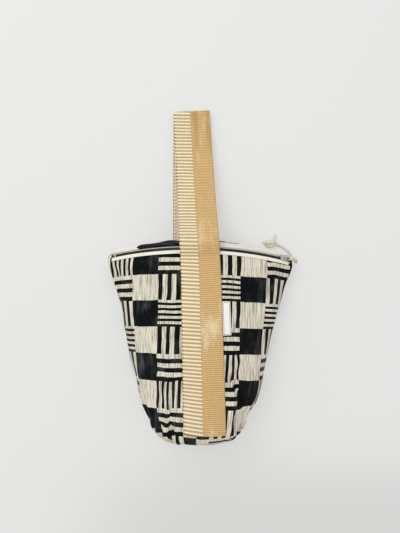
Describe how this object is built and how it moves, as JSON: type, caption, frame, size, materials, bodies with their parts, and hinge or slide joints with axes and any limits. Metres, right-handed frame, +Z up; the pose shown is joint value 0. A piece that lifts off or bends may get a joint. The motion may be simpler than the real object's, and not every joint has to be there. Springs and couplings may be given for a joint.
{
  "type": "tetrahedron bag",
  "caption": "Soft cloth tetrahedron bag with a zipped bowed mouth, a corded zip pull and one wide webbing strap looped over the mouth.",
  "frame": {"origin": "on the floor, under the middle of the box round the bag and its laid-out strap, without the pull cord", "axes": "+Y from the bag's bottom end to the strap's far fold, +X to the right seen from above, +Z up"},
  "size_m": [0.2569, 0.4358, 0.0915],
  "materials": {
    "patchwork_cloth": "woven cotton, cream and black",
    "natural_cotton": "natural cotton",
    "zip_tape": "woven tape",
    "zip_teeth": "black moulded",
    "webbing": "ribbed cotton and metallic yarn, worn",
    "zip_metal": "dull",
    "label_cloth": "smooth woven"
  },
  "bodies": {
    "bag": {"body_left": "patchwork_cloth", "body_right": "patchwork_cloth", "rim_band": "natural_cotton", "zip_tape_front": "zip_tape", "zip_tape_back": "zip_tape", "zip_teeth_front": "zip_teeth", "zip_teeth_back": "zip_teeth", "zip_bottom_stop": "zip_metal", "zip_top_stop_front": "zip_metal", "zip_top_stop_back": "zip_metal", "strap_front_leg": "webbing", "strap_back_leg": "webbing", "label": "label_cloth"},
    "slider": {"zip_slider": "zip_metal"},
    "pull": {"pull_ring": "zip_metal", "cord_hitch": "natural_cotton", "pull_cord": "natural_cotton", "pull_cord_knot": "natural_cotton"},
    "strap": {"strap_loop": "webbing"}
  },
  "joints": [
    {"name": "zip_travel", "type": "hinge", "parent": "bag", "child": "slider", "pos_m": [0, -0.08617, -0.1845], "axis": [0, 0.9006, -0.4348], "range_deg": [-50, 0], "deforming": ["zip_teeth_front", "zip_teeth_back", "pull_cord"]},
    {"name": "pull_swing", "type": "hinge", "parent": "slider", "child": "pull", "pos_m": [0.11293, 0.016, 0.02715], "axis": [0, 0.9006, -0.4348], "range_deg": [-120, 12]},
    {"name": "strap_swing", "type": "hinge", "parent": "bag", "child": "strap", "pos_m": [0, 0.01465, 0.05376], "axis": [0.9966, 0.0819, 0], "range_deg": [0, 90]}
  ]
}
